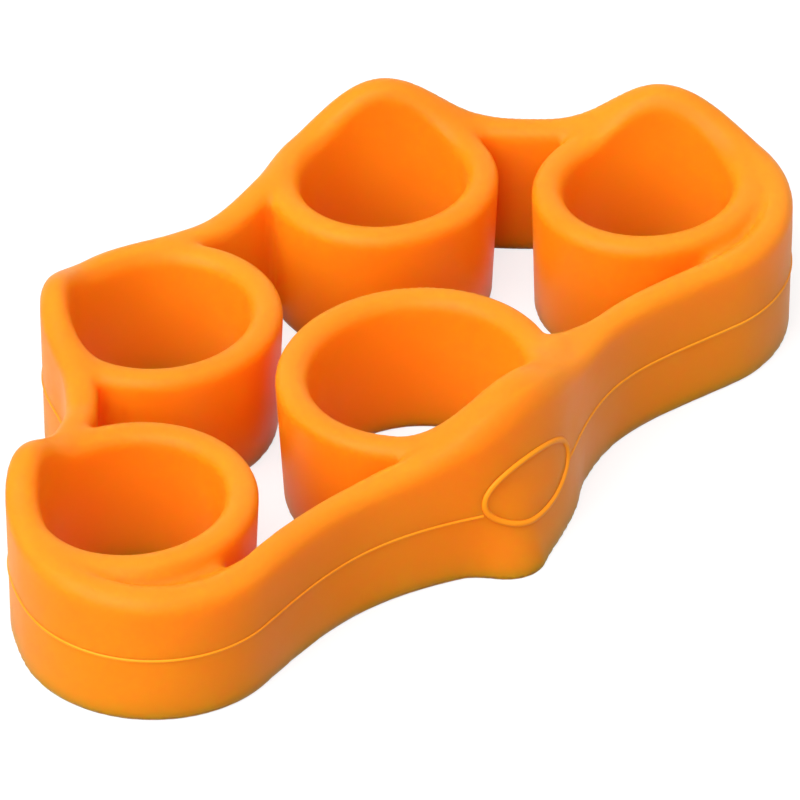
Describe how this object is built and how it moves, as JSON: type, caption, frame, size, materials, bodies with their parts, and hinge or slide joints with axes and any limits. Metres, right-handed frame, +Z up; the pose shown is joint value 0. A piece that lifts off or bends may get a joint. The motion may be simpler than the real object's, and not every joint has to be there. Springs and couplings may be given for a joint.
{
  "type": "finger stretcher",
  "caption": "Resistance finger stretcher of soft rubber: a scalloped band joins a thumb loop, with a rounded boss in front, to a row of crested finger loops.",
  "frame": {"origin": "middle of the outline seen from above, on the flat surface the part lies on", "axes": "+X along the row of loops towards the little finger, +Y away from the thumb, +Z up along the loops' bores"},
  "size_m": [0.0959, 0.0528, 0.018],
  "materials": {
    "silicone": "satin, slightly translucent orange silicone"
  },
  "bodies": {
    "thumb_side": {"thumb_loop": "silicone", "thumb_boss": "silicone", "index_loop": "silicone", "index_heel": "silicone", "middle_loop": "silicone", "index_middle_web": "silicone", "middle_web": "silicone", "index_thumb_web": "silicone", "thumb_web": "silicone"},
    "ring_side": {"ring_loop": "silicone", "ring_web": "silicone", "ring_little_web": "silicone", "little_loop": "silicone", "little_heel": "silicone", "little_web": "silicone"}
  },
  "joints": [
    {"name": "finger_stretch", "type": "slide", "parent": "thumb_side", "child": "ring_side", "axis": [0.8704, 0.4924, 0], "range_m": [0, 0.012], "stiffness_N_per_m": 2500}
  ]
}
